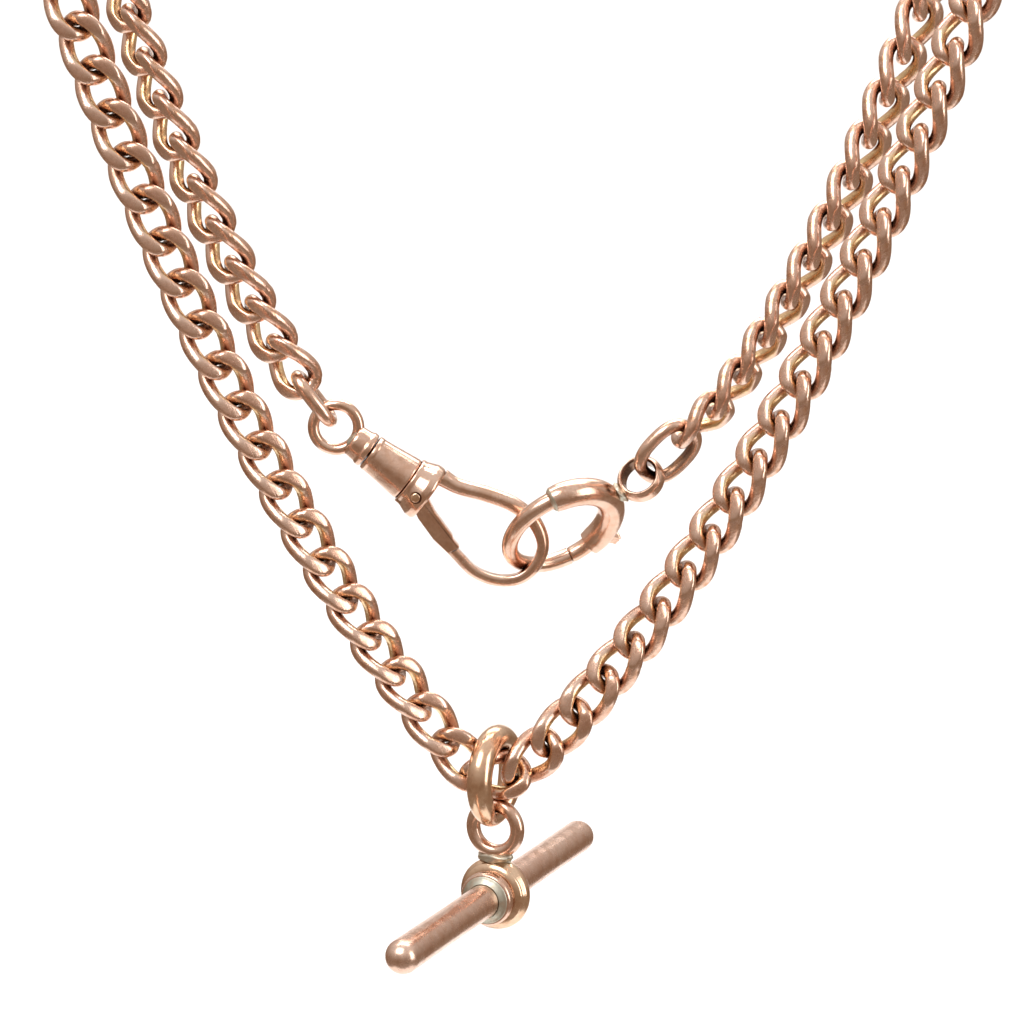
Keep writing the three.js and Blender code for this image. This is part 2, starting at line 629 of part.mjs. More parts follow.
// Torus about local Y whose tube thins towards its lowest point, where the loop has worn it
function wornRing() {
  const ring = new THREE.TorusGeometry(T_RING.outer - T_RING.tube, T_RING.tube, 8, 18);
  const place = ring.attributes.position;
  for (let i = 0; i < place.count; i += 1) {
    const x = place.getX(i);
    const y = place.getY(i);
    const z = place.getZ(i);
    const angle = Math.atan2(y, x);
    const wear = Math.max(0, -Math.sin(angle)) ** 4;
    const thin = 1 + (T_RING.wornTube / T_RING.tube - 1) * wear;
    const radius = T_RING.outer - (T_RING.outer - Math.hypot(x, y)) * thin;
    place.setXYZ(i, radius * Math.cos(angle), radius * Math.sin(angle), z * thin);
  }
  return ring;
}

const tRing = addPiece(chain, 't_bar_ring', wornRing().rotateX(Math.PI / 2), YELLOW_GOLD);
tRing.position.set(T_RING.x, HANG.outerY, T_RING.z);
tRing.rotation.z = Math.PI / 2 - degrees(T_RING.turn);

const tBar = new THREE.Group();
tBar.position.set(T_RING.x, HANG.outerY, T_BAR.z);
tBar.rotation.z = -degrees(T_BAR.turn);
chain.add(tBar);

const loop = addPiece(tBar, 't_bar_loop', new THREE.TorusGeometry(T_LOOP.radius, T_LOOP.wire, 8, 16), GOLD);
loop.rotation.x = Math.PI / 2;
loop.position.z = T_LOOP.z - T_BAR.z;

function barProfile() {
  const straight = T_BAR.length / 2 - T_BAR.radius;
  const cap = Array.from({ length: 5 }, (_, i) => {
    const angle = (Math.PI / 2) * (i / 4);
    return [straight + T_BAR.radius * Math.sin(angle), T_BAR.radius * Math.cos(angle)];
  });
  cap[cap.length - 1][1] = 0;
  return [...cap.map(([x, radius]) => [-x, radius]).reverse(), ...cap];
}
const bar = turned(barProfile(), 12).rotateZ(Math.PI / 2);
addPiece(tBar, 't_bar_rod', bar, GOLD);

function collarRing(profile) {
  return turned([...profile, profile[0]], 16).rotateZ(Math.PI / 2);
}
const beadArc = Array.from({ length: 6 }, (_, i) => {
  const angle = Math.PI * (i / 5);
  const swell = COLLAR.bead - COLLAR.beadHalf;
  return [-COLLAR.beadHalf * Math.cos(angle), swell + COLLAR.beadHalf * Math.sin(angle)];
});
addPiece(tBar, 't_bar_collar_bead', collarRing([[-COLLAR.beadHalf, COLLAR.bore], ...beadArc, [COLLAR.beadHalf, COLLAR.bore]]), YELLOW_GOLD);
for (const [name, sign] of [['t_bar_collar_near_ring', -1], ['t_bar_collar_far_ring', 1]]) {
  const inner = COLLAR.beadHalf + GAP;
  const outer = inner + COLLAR.ringWidth;
  const profile = [
    [inner, COLLAR.bore],
    [inner, COLLAR.ring - 0.15],
    [inner + 0.35, COLLAR.ring],
    [outer - 0.2, COLLAR.ring - 0.08],
    [outer, COLLAR.ring - 0.3],
    [outer, COLLAR.bore],
  ];
  const placed = profile.map(([x, radius]) => [sign * x, radius]);
  addPiece(tBar, name, collarRing(sign > 0 ? placed : placed.reverse()), GOLD);
}

export default chain;
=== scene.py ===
"""Double Albert pocket watch chain, hanging doubled: the looks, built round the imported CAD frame.

Lengths are worked out in millimetres, in the frame's axes, and turned into metres when a mesh is made.
"""

import itertools
import json
import math
import re

import bmesh
import bpy
import numpy as np
from mathutils import Matrix, Vector, noise


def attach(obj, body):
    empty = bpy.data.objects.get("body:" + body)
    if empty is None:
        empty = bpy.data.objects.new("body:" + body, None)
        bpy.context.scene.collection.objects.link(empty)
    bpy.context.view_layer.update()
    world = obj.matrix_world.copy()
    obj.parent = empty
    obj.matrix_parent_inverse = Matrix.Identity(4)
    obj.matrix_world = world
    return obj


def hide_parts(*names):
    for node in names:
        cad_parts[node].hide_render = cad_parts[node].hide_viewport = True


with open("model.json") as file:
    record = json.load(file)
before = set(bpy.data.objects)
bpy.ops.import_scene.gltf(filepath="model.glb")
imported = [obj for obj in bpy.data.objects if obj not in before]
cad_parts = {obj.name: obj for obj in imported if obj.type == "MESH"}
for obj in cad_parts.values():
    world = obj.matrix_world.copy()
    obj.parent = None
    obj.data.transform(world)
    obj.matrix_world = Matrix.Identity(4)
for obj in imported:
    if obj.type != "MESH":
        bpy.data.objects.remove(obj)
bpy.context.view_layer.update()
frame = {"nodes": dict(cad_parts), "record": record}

MM = 0.001

# ---------------------------------------------------------------- sizes shared with the CAD

GAP = 0.06  # clearance between two pieces that bear on each other
PITCH = 3.8
WIRE = 0.63  # radius of the curb links' wire
LINK_HALF_WIDTH = 1.56
LINK_CROWN = 0.82  # how far a link's path leaves its plane
OUTER_Y = -2.6  # the plane of the outer swag, towards the camera
INNER_Y = 2.6
# vertex x, sag, base height, plane and side of each strand's catenary
STRANDS = {
    "outer_left": (39.74, 42.17, -102.51, OUTER_Y, -1),
    "outer_right": (-37.71, 43.76, -96.29, OUTER_Y, 1),
    "inner_left": (9.89, 22.84, -64.73, INNER_Y, -1),
    "inner_right": (-8.73, 24.24, -63.12, INNER_Y, 1),
}
# degrees each strand's links are turned, at its lower end and at the fold
TWIST = {
    "outer_left": (45, -10),
    "outer_right": (-32, -56),
    "inner_left": (-28, -62),
    "inner_right": (60, 30),
}
MAX_TWIST_STEP = math.radians(14)
MIDDLE = Vector((-1.42, OUTER_Y, -78.6))
SETTLE = Vector((0.1, -0.2, 0.0))  # how the links on either side of the middle one sit
SETTLE_TURN = 10
RING_X, RING_Z, RING_OUTER, RING_TUBE, RING_WORN = -1.44, -78.67, 4.45, 1.09, 0.56
BAR_TURN = math.radians(23.8)
LOOP_RADIUS, LOOP_WIRE, LOOP_Z = 2.08, 0.62, -83.37
BAR_Z, BAR_LENGTH, BAR_RADIUS = -89.23, 40.0, 1.475
CLIP_ORIGIN = Vector((-15.16, INNER_Y, -49.04))
CLIP_SLOPE = math.radians(-36.5)
EYE_RADIUS, EYE_WIRE = 1.95, 0.5
BOLT_CENTRE = Vector((4.22, INNER_Y, -57.95))
BOLT_SLOPE = math.radians(32.2)
BOLT_TILT = math.radians(49)
BOLT_RADIUS = 4.82
TUBE_OUTER, TUBE_BORE, TUBE_FROM, TUBE_TO = 1.2, 0.9, -77, 77
LUG_ANGLE = -62
BAND_DISTANCE, BAND_OUTER, BAND_INNER, BAND_WIDTH, BAND_TURN = 8.18, 2.1, 1.5, 1.7, -41


# ---------------------------------------------------------------- mesh helpers

def make_mesh(name, verts, faces, sharp=35.0):
    """A closed mesh from points in millimetres, smooth but for edges over `sharp` degrees."""
    mesh = bpy.data.meshes.new(name)
    mesh.from_pydata([tuple(float(c) * MM for c in v) for v in verts], [], faces)
    work = bmesh.new()
    work.from_mesh(mesh)
    bmesh.ops.remove_doubles(work, verts=work.verts, dist=1e-7)
    bmesh.ops.recalc_face_normals(work, faces=work.faces)
    work.to_mesh(mesh)
    work.free()
    mesh.shade_smooth()
    mesh.set_sharp_from_angle(angle=math.radians(sharp))
    return mesh


def grid_faces(rings, sides, closed):
    """Quads between neighbouring rings of vertices, with the two end caps if the path is open."""
    faces = []
    for i in range(rings if closed else rings - 1):
        a, b = i * sides, ((i + 1) % rings) * sides
        for j in range(sides):
            k = (j + 1) % sides
            faces.append((a + j, a + k, b + k, b + j))
    if not closed:
        faces.append(tuple(range(sides)))
        faces.append(tuple((rings - 1) * sides + j for j in range(sides)))
    return faces


def unit(rows):
    """Each row scaled to length one."""
    return rows / np.linalg.norm(rows, axis=-1, keepdims=True)


def sweep(path, outward, sections, closed):
    """Vertices and faces of a section carried along a path; `outward` steers the section's first axis."""
    path = np.asarray(path, float)
    if closed:
        tangent = np.roll(path, -1, 0) - np.roll(path, 1, 0)
    else:
        tangent = np.gradient(path, axis=0)
    tangent = unit(tangent)
    outward = np.broadcast_to(np.asarray(outward, float), path.shape)
    normal = unit(outward - tangent * (outward * tangent).sum(1, keepdims=True))
    binormal = np.cross(tangent, normal)
    sections = np.broadcast_to(sections, (len(path),) + np.shape(sections)[-2:])
    verts = (
        path[:, None, :]
        + sections[:, :, 0:1] * normal[:, None, :]
        + sections[:, :, 1:2] * binormal[:, None, :]
    )
    return verts.reshape(-1, 3), grid_faces(len(path), sections.shape[1], closed)


def circle(radius, sides=24):
    """A round section for `sweep`."""
    angles = np.linspace(0, 2 * math.pi, sides, endpoint=False)
    return np.stack([radius * np.cos(angles), radius * np.sin(angles)], -1)


def lathe(profile, segments=96, loop=False):
    """Vertices and faces of a profile of (x, radius) points turned about X."""
    profile = np.asarray(profile, float)
    angles = np.linspace(0, 2 * math.pi, segments, endpoint=False)
    verts = np.stack(
        [
            np.repeat(profile[None, :, 0], segments, 0),
            profile[None, :, 1] * np.cos(angles)[:, None],
            profile[None, :, 1] * np.sin(angles)[:, None],
        ],
        -1,
    ).reshape(-1, 3)
    count = len(profile)
    faces = []
    for i in range(segments):
        a, b = i * count, ((i + 1) % segments) * count
        for j in range(count if loop else count - 1):
            k = (j + 1) % count
            faces.append((a + j, a + k, b + k, b + j))
    return verts, faces


def fillet(points, radius, steps=5, closed=False):
    """The polyline with each corner rounded off over `radius` to either side."""
    points = [Vector(p).to_2d() for p in points]
    count = len(points)
    out = []
    for i, here in enumerate(points):
        if not closed and i in (0, count - 1):
            out.append(here)
            continue
        before, after = points[i - 1], points[(i + 1) % count]
        first = min(radius, (before - here).length * 0.45)
        last = min(radius, (after - here).length * 0.45)
        start = here + (before - here).normalized() * first
        end = here + (after - here).normalized() * last
        for k in range(steps + 1):
            u = k / steps
            out.append(start * (1 - u) ** 2 + here * 2 * u * (1 - u) + end * u**2)
    return [tuple(p) for p in out]


def carve(mesh, cutters):
    """The mesh with each cutter mesh taken out of it."""
    body = bpy.data.objects.new("carve_body", mesh)
    bpy.context.scene.collection.objects.link(body)
    tools = []
    for cutter in cutters:
        tool = bpy.data.objects.new("carve_tool", cutter)
        bpy.context.scene.collection.objects.link(tool)
        tools.append(tool)
        modifier = body.modifiers.new("cut", "BOOLEAN")
        modifier.operation = "DIFFERENCE"
        modifier.solver = "EXACT"
        modifier.object = tool
    graph = bpy.context.evaluated_depsgraph_get()
    result = bpy.data.meshes.new_from_object(body.evaluated_get(graph))
    result.name = mesh.name
    for item in [body, *tools]:
        bpy.data.objects.remove(item)
    result.shade_smooth()
    result.set_sharp_from_angle(angle=math.radians(35))
    return result


def box_mesh(low, high, turn=Matrix.Identity(4)):
    """A box between two corners, to cut with."""
    corners = [Vector(corner) for corner in itertools.product(*zip(low, high))]
    faces = [(0, 1, 3, 2), (4, 6, 7, 5), (0, 4, 5, 1), (2, 3, 7, 6), (0, 2, 6, 4), (1, 5, 7, 3)]
    return make_mesh("cutter", [turn @ c for c in corners], faces)


def bevelled_plate(name, outline, half_depth, bevel):
    """An outline in (x, z), given depth along Y and rounded edges."""
    count = len(outline)
    verts = [(x, -half_depth, z) for x, z in outline] + [(x, half_depth, z) for x, z in outline]
    faces = [tuple(range(count)), tuple(range(count, 2 * count))]
    faces += [(i, (i + 1) % count, (i + 1) % count + count, i + count) for i in range(count)]
    mesh = make_mesh(name, verts, faces)
    work = bmesh.new()
    work.from_mesh(mesh)
    rims = [e for e in work.edges if abs(e.verts[0].co.y - e.verts[1].co.y) < 1e-9]
    bmesh.ops.bevel(work, geom=rims, offset=bevel * MM, segments=3, profile=0.6, affect="EDGES")
    bmesh.ops.recalc_face_normals(work, faces=work.faces)
    work.to_mesh(mesh)
    work.free()
    mesh.shade_smooth()
    mesh.set_sharp_from_angle(angle=math.radians(30))
    return mesh


def blob(name, centre, radii, lump=0.18, seed=0.0):
    """A lumpy drop of solder."""
    rows, columns = 18, 28
    verts, faces = [], []
    for i in range(rows + 1):
        polar = math.pi * i / rows
        for j in range(columns):
            around = 2 * math.pi * j / columns
            level = math.sin(polar)
            way = Vector((level * math.cos(around), level * math.sin(around), math.cos(polar)))
            swell = 1 + lump * noise.noise(way * 1.6 + Vector((seed, seed, seed)))
            verts.append([centre[k] + way[k] * radii[k] * swell for k in range(3)])
    for i in range(rows):
        for j in range(columns):
            k = (j + 1) % columns
            faces.append((i * columns + j, i * columns + k, (i + 1) * columns + k, (i + 1) * columns + j))
    return make_mesh(name, verts, faces)


# ---------------------------------------------------------------- materials

def add(tree, kind, **inputs):
    """A new node with some of its inputs or settings given."""
    node = tree.nodes.new(kind)
    for key, value in inputs.items():
        if key in node.inputs.keys():
            node.inputs[key].default_value = value
        else:
            setattr(node, key, value)
    return node


def ramp(tree, source, stops):
    """A value turned into a colour by (place, colour) stops."""
    node = tree.nodes.new("ShaderNodeValToRGB")
    while len(node.color_ramp.elements) < len(stops):
        node.color_ramp.elements.new(0.5)
    for element, (place, colour) in zip(node.color_ramp.elements, stops):
        element.position = place
        element.color = colour if len(colour) == 4 else (*colour, 1)
    tree.links.new(source, node.inputs[0])
    return node.outputs[0]


def grey(value):
    return (value, value, value, 1)


def mix(tree, factor, first, second, blend="MIX"):
    """Two colours mixed; each of the three inputs is a socket or a value."""
    node = tree.nodes.new("ShaderNodeMix")
    node.data_type = "RGBA"
    node.blend_type = blend
    for socket, value in ((node.inputs[0], factor), (node.inputs[6], first), (node.inputs[7], second)):
        if isinstance(value, bpy.types.NodeSocket):
            tree.links.new(value, socket)
        else:
            socket.default_value = value
    return node.outputs[2]


PATINA = (0.60, 0.29, 0.14, 1)


def metal(
    name, light, deep, crevice_shade_colour, rough=(0.13, 0.3), wear=1.0, pits=1.0, inner=None, patina=0.3, axis="Z"
):
    """Worn polished metal: two tones of the alloy, painted shade in dark brown where pieces crowd, scratches,
    dents and pits.

    `inner` is a third colour, for the walls that face the piece's own `axis`, as the insides of links do:
    a painted yellow reflection of the gold on the links, painted shade on the eye and the oval link.
    The sides of such a piece hold more patina than its rubbed faces, and it has drawn-wire streaks.
    """
    material = bpy.data.materials.new(name)
    material.use_nodes = True
    tree = material.node_tree
    tree.nodes.clear()
    out = tree.nodes.new("ShaderNodeOutputMaterial")
    shader = tree.nodes.new("ShaderNodeBsdfPrincipled")
    shader.inputs["Metallic"].default_value = 1.0
    tree.links.new(shader.outputs[0], out.inputs[0])
    coordinates = tree.nodes.new("ShaderNodeTexCoord")
    place = coordinates.outputs["Object"]

    def pattern(kind, scale, stretch=None, **inputs):
        node = add(tree, kind, Scale=scale, **inputs)
        source = place
        if stretch:
            mapping = add(tree, "ShaderNodeMapping")
            mapping.inputs["Scale"].default_value = stretch
            mapping.inputs["Rotation"].default_value = (0.4, 0.7, 0.2)
            tree.links.new(place, mapping.inputs["Vector"])
            source = mapping.outputs[0]
        tree.links.new(source, node.inputs["Vector"])
        return node.outputs[0]

    shade = pattern("ShaderNodeTexNoise", 420.0, Detail=3.0)
    colour = mix(tree, ramp(tree, shade, [(0.36, grey(0)), (0.68, grey(1))]), light, deep)
    # painted light on the walls facing the piece's axis: a painted reflection on the links, painted shade on
    # the eye and the oval link
    if inner:
        flat = add(tree, "ShaderNodeVectorMath", operation="MULTIPLY")
        flat.inputs[1].default_value = (0.0, -1.0, -1.0) if axis == "X" else (-1.0, -1.0, 0.0)
        tree.links.new(place, flat.inputs[0])
        inward = add(tree, "ShaderNodeVectorMath", operation="NORMALIZE")
        tree.links.new(flat.outputs[0], inward.inputs[0])
        facing = add(tree, "ShaderNodeVectorMath", operation="DOT_PRODUCT")
        tree.links.new(inward.outputs[0], facing.inputs[0])
        tree.links.new(coordinates.outputs["Normal"], facing.inputs[1])
        wall = ramp(tree, facing.outputs["Value"], [(0.35, grey(0)), (0.85, grey(1))])
        colour = mix(tree, wall, colour, inner)
    blotch = pattern("ShaderNodeTexNoise", 1000.0, Detail=5.0, Roughness=0.6)
    stain = ramp(tree, blotch, [(0.46, grey(0)), (0.62, grey(patina))])
    if inner:
        upright = tree.nodes.new("ShaderNodeSeparateXYZ")
        tree.links.new(coordinates.outputs["Normal"], upright.inputs[0])
        rubbed = add(tree, "ShaderNodeMath", operation="ABSOLUTE")
        tree.links.new(upright.outputs[axis], rubbed.inputs[0])
        sheltered = ramp(tree, rubbed.outputs[0], [(0.3, grey(1)), (0.8, grey(0.15))])
        stain = mix(tree, 1.0, stain, sheltered, "MULTIPLY")
    colour = mix(tree, stain, colour, PATINA)
    fine = pattern("ShaderNodeTexNoise", 2600.0, Detail=4.0, Roughness=0.65)
    speck = ramp(tree, fine, [(0.3, grey(0.72)), (0.5, grey(1))])
    colour = mix(tree, 0.35 * wear, colour, speck, "MULTIPLY")
    # painted shade: the crevice shade colour is mixed in where an ambient occlusion node finds other surfaces
    # close by, darkening gaps and contacts between pieces
    crowd = tree.nodes.new("ShaderNodeAmbientOcclusion")
    crowd.samples = 6
    crowd.inputs["Distance"].default_value = 0.7 * MM
    painted_crevice_shade = ramp(tree, crowd.outputs["AO"], [(0.12, grey(1)), (0.62, grey(0))])
    colour = mix(tree, painted_crevice_shade, colour, crevice_shade_colour)
    tree.links.new(colour, shader.inputs["Base Color"])

    smear = pattern("ShaderNodeTexNoise", 900.0, Detail=5.0, Roughness=0.7)
    low, high = rough
    tree.links.new(ramp(tree, smear, [(0.35, grey(low)), (0.7, grey(high))]), shader.inputs["Roughness"])

    scratch = pattern("ShaderNodeTexNoise", 1500.0, stretch=(9.0, 0.7, 0.7), Detail=6.0, Roughness=0.8)
    cross_scratch = pattern("ShaderNodeTexNoise", 1300.0, stretch=(0.6, 8.0, 0.8), Detail=5.0, Roughness=0.8)
    dent = pattern("ShaderNodeTexNoise", 650.0, Detail=2.0)
    pit = pattern("ShaderNodeTexVoronoi", 1700.0)
    pit = ramp(tree, pit, [(0.05, grey(0)), (0.16, grey(1))])
    relief = [(scratch, 0.10 * wear), (cross_scratch, 0.08 * wear), (dent, 0.32), (pit, 0.10 * pits)]
    if inner:
        drawn = add(tree, "ShaderNodeMapping")
        drawn.inputs["Scale"].default_value = (5.0, 0.55, 5.0)
        tree.links.new(place, drawn.inputs["Vector"])
        streak = add(tree, "ShaderNodeTexNoise", Scale=700.0, Detail=4.0, Roughness=0.65)
        tree.links.new(drawn.outputs[0], streak.inputs["Vector"])
        relief.append((streak.outputs[0], 0.55))
    height = None
    for source, strength in relief:
        bump = add(tree, "ShaderNodeBump", Strength=strength, Distance=0.05 * MM)
        tree.links.new(source, bump.inputs["Height"])
        if height is not None:
            tree.links.new(height, bump.inputs["Normal"])
        height = bump.outputs[0]
    tree.links.new(height, shader.inputs["Normal"])
    return material


ROSE_LIGHT = (0.86, 0.61, 0.48, 1)
ROSE_DEEP = (0.80, 0.52, 0.39, 1)
WIRE_LIGHT = (0.86, 0.61, 0.49, 1)
# painted shade: the dark brown laid into gaps and contacts between pieces by the metals' ambient occlusion
# mix
CREVICE_SHADE_BROWN = (0.16, 0.06, 0.025, 1)
# painted reflection: the yellow that the links' inner walls take, for the gold reflecting itself
INNER_WALL_REFLECTION = (0.90, 0.66, 0.38, 1)
# painted shade: the dark brown on the inner walls of the eye and the oval link
INNER_WALL_SHADE = (0.20, 0.12, 0.085, 1)
DULLED = (0.16, 0.34)

# the fourth argument of each metal is the colour of its painted shade in gaps and contacts
ROSE = metal("rose_gold_worn", ROSE_LIGHT, ROSE_DEEP, CREVICE_SHADE_BROWN)
LINKS = metal(
    "rose_gold_links", WIRE_LIGHT, (0.80, 0.50, 0.37, 1), CREVICE_SHADE_BROWN, DULLED, inner=INNER_WALL_REFLECTION, patina=0.75
)
ROSE_BAR = metal("rose_gold_bar", WIRE_LIGHT, (0.81, 0.53, 0.41, 1), (0.24, 0.11, 0.06, 1), DULLED, 1.3)
YELLOW = metal(
    "yellow_gold_worn", (0.88, 0.63, 0.44, 1), (0.82, 0.52, 0.35, 1), (0.22, 0.10, 0.04, 1), (0.12, 0.28)
)
SOLDER = metal(
    "solder_pale", (0.66, 0.64, 0.54, 1), (0.50, 0.49, 0.40, 1), (0.20, 0.17, 0.12, 1), (0.34, 0.55),
    wear=1.4, pits=2.0,
)
EYE = metal("rose_gold_eye", ROSE_LIGHT, ROSE_DEEP, CREVICE_SHADE_BROWN, inner=INNER_WALL_SHADE, patina=0.4, axis="X")
OVAL = metal("rose_gold_oval", ROSE_LIGHT, ROSE_DEEP, CREVICE_SHADE_BROWN, inner=INNER_WALL_SHADE, patina=0.4)
STEEL = metal(
    "spring_steel", (0.45, 0.43, 0.40, 1), (0.34, 0.32, 0.30, 1), (0.10, 0.08, 0.07, 1), (0.25, 0.45)
)


def add_piece(name, mesh, body, material, matrix=Matrix.Identity(4), nodes=()):
    """A mesh as an object that rides a body and stands for the CAD nodes."""
    mesh.materials.clear()
    mesh.materials.append(material)
    item = bpy.data.objects.new(name, mesh)
    bpy.context.scene.collection.objects.link(item)
    item.matrix_world = matrix
    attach(item, body)
    if nodes:
        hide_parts(*nodes)


def placed(origin, rotation=Matrix.Identity(3)):
    """The place of a piece: an origin in millimetres and a turn."""
    return Matrix.Translation(origin * MM) @ rotation.to_4x4()


# ---------------------------------------------------------------- routes of the strands

def catenary_z(strand, x):
    vertex, sag, base, _, _ = strand
    return base + sag * (math.cosh((x - vertex) / sag) - 1)


def catenary_x(strand, z):
    vertex, sag, base, _, side = strand
    return vertex + side * sag * math.acosh((z - base) / sag + 1)


def strand_points(strand, start_x, fold_z):
    """Points along a strand's catenary, from its lower end up to the fold."""
    end_x = catenary_x(strand, fold_z)
    steps = 600
    xs = [start_x + (end_x - start_x) * i / steps for i in range(steps + 1)]
    return [Vector((x, strand[3], catenary_z(strand, x))) for x in xs]


def fold_points(first, last):
    """A half circle over the support, from one swag's plane to the other's."""
    middle = (first + last) / 2
    reach = first - middle
    points = []
    steps = 100
    for i in range(steps + 1):
        angle = math.pi * i / steps
        points.append(middle + reach * math.cos(angle) + Vector((0, 0, reach.length * math.sin(angle))))
    return points


def contacts(route):
    """Points one pitch apart along a route."""
    last = route[0]
    found = [last]
    for a, b in zip(route, route[1:]):
        while (b - last).length >= PITCH:
            low, high = 0.0, 1.0
            for _ in range(40):
                half = (low + high) / 2
                if (a.lerp(b, half) - last).length < PITCH:
                    low = half
                else:
                    high = half
            last = a.lerp(b, high)
            found.append(last)
    return found


def half_route(outer, inner, start, end, fold_z):
    """One half of the chain: up the outer strand, over the fold and down the inner one."""
    up = strand_points(outer, start.x + PITCH * 0.8 * outer[4], fold_z)
    down = strand_points(inner, end.x + inner[4] * 0.6, fold_z)[::-1]
    return [start, *up, *fold_points(up[-1], down[0]), *down, end]


def fit_half(outer, inner, start, end, links):
    """The contacts of a half with a given number of links, and the height of its fold."""
    low, high = -10.0, 6.0
    for _ in range(40):
        middle = (low + high) / 2
        if len(contacts(half_route(outer, inner, start, end, middle))) - 1 < links:
            low = middle
        else:
            high = middle
    return contacts(half_route(outer, inner, start, end, high))[: links + 1], high


def turned_face(face, along, angle):
    return Matrix.Rotation(angle, 3, along) @ face


def link_faces(stops, outer_twist, inner_twist, fold_z):
    """Which way each link's flat side looks: the strands twist, and over the support the links lie flat."""
    count = len(stops) - 1
    top = next(i for i, stop in enumerate(stops) if stop.z >= fold_z)
    back = max(i for i, stop in enumerate(stops) if stop.z >= fold_z)
    faces, alongs = [], []
    for i in range(count):
        along = (stops[i + 1] - stops[i]).normalized()
        if top <= i < back:
            centre = (stops[top] + stops[back]) / 2
            away = (stops[i] + stops[i + 1]) / 2 - centre
            face = (away - along * away.dot(along)).normalized()
        else:
            rising = i < top
            low = i / top if rising else (count - 1 - i) / (count - back)
            start, end = outer_twist if rising else inner_twist
            angle = SETTLE_TURN if i == 0 else start + (end - start) * low
            front = Vector((0, -1 if rising else 1, 0))
            face = turned_face(front, along, math.radians(angle if rising else -angle))
        faces.append(face)
        alongs.append(along)
    return limit_twist(faces, alongs)


def turn_between(first, second, along):
    """The angle about `along` from one direction to another."""
    a = (first - along * first.dot(along)).normalized()
    b = (second - along * second.dot(along)).normalized()
    return math.atan2(a.cross(b).dot(along), a.dot(b))


def limit_twist(faces, alongs):
    """Shares the twist out, so that no link is turned more than MAX_TWIST_STEP against its neighbour."""
    last = len(faces) - 1
    for _ in range(60):
        for i in range(1, len(faces)):
            turn = turn_between(faces[i - 1], faces[i], alongs[i])
            if abs(turn) > math.pi / 2:
                faces[i] = -faces[i]
                turn = turn_between(faces[i - 1], faces[i], alongs[i])
            excess = math.copysign(max(0.0, abs(turn) - MAX_TWIST_STEP), turn)
            here = 0.0 if i == last else (1.0 if i == 1 else 0.5)
            faces[i] = turned_face(faces[i], alongs[i], -excess * here)
            faces[i - 1] = turned_face(faces[i - 1], alongs[i - 1], excess * (1 - here))
    return faces


def link_matrix(first, last, face):
    """A link's place between two contacts: its length along Y, its flat side facing Z."""
    along = (last - first).normalized()
    across = along.cross(face).normalized()
    rotation = Matrix((across, along, across.cross(along))).transposed()
    return placed((first + last) / 2, rotation)


# ---------------------------------------------------------------- curb links

def curb_link_mesh(variant):
    """A twisted link of round wire, its crowns rubbed a little flat, with the seam where it was closed."""
    rings, sides = 84, 24
    angles = np.linspace(0, 2 * math.pi, rings, endpoint=False)
    reach = PITCH / 2 + WIRE + GAP / 2
    path = np.stack(
        [LINK_HALF_WIDTH * np.cos(angles), reach * np.sin(angles), LINK_CROWN * np.sin(2 * angles)], -1
    )
    outward = np.stack([np.cos(angles), np.sin(angles), np.zeros(rings)], -1)
    around = np.linspace(0, 2 * math.pi, sides, endpoint=False)
    phase = 1.7 * variant
    swell = 1 + 0.012 * np.sin(3 * angles + phase)[:, None] * np.sin(2 * around + phase)[None, :]
    swell += 0.010 * np.sin(7 * angles - 2 * phase)[:, None] * np.cos(3 * around)[None, :]
    seam = np.angle(np.exp(1j * (angles - (0.25 + 0.35 * variant))))
    swell -= 0.035 * np.exp(-((seam / 0.05) ** 2))[:, None]
    swell += 0.020 * np.exp(-(((np.abs(seam) - 0.13) / 0.07) ** 2))[:, None]
    radius = (WIRE - 0.005) * swell
    sections = np.stack([radius * np.cos(around), radius * np.sin(around)], -1)
    verts, faces = sweep(path, outward, sections, True)
    rubbed_from, rubbed_over = 1.06, 0.16
    high = np.abs(verts[:, 2]) > rubbed_from
    over = np.abs(verts[:, 2]) - rubbed_from
    verts[high, 2] = np.sign(verts[high, 2]) * (rubbed_from + rubbed_over * np.tanh(over[high] / 0.3))
    return make_mesh(f"curb_link_{variant}", verts, faces, 60.0)


VARIANTS = 4
LINK_MESHES = [curb_link_mesh(i) for i in range(VARIANTS)]

ring_across = Vector((math.cos(BOLT_SLOPE), 0, math.sin(BOLT_SLOPE)))
ring_aside = Vector(
    (
        -math.sin(BOLT_SLOPE) * math.cos(BOLT_TILT),
        -math.sin(BOLT_TILT),
        math.cos(BOLT_SLOPE) * math.cos(BOLT_TILT),
    )
)
ring_normal = ring_across.cross(ring_aside)
band_centre = BOLT_CENTRE + ring_across * BAND_DISTANCE
jump_way = Vector((-0.6, 0, 0.8))
jump_low = CLIP_ORIGIN + jump_way * (EYE_RADIUS - EYE_WIRE)
jump_high = jump_low + jump_way * 3.3
oval_way = Vector((math.cos(math.radians(46)), 0, math.sin(math.radians(46))))
oval_low = band_centre + oval_way * (BAND_INNER - 0.15)
oval_high = oval_low + oval_way * 4.0

half_link = Vector((PITCH / 2, 0, 0))
HALVES = {
    "left": (MIDDLE - half_link + SETTLE, jump_high, 38),
    "right": (MIDDLE + half_link - SETTLE, oval_high, 41),
}
BODY_OF = {node: body for body, nodes in frame["record"]["behaviour"]["bodies"].items() for node in nodes}

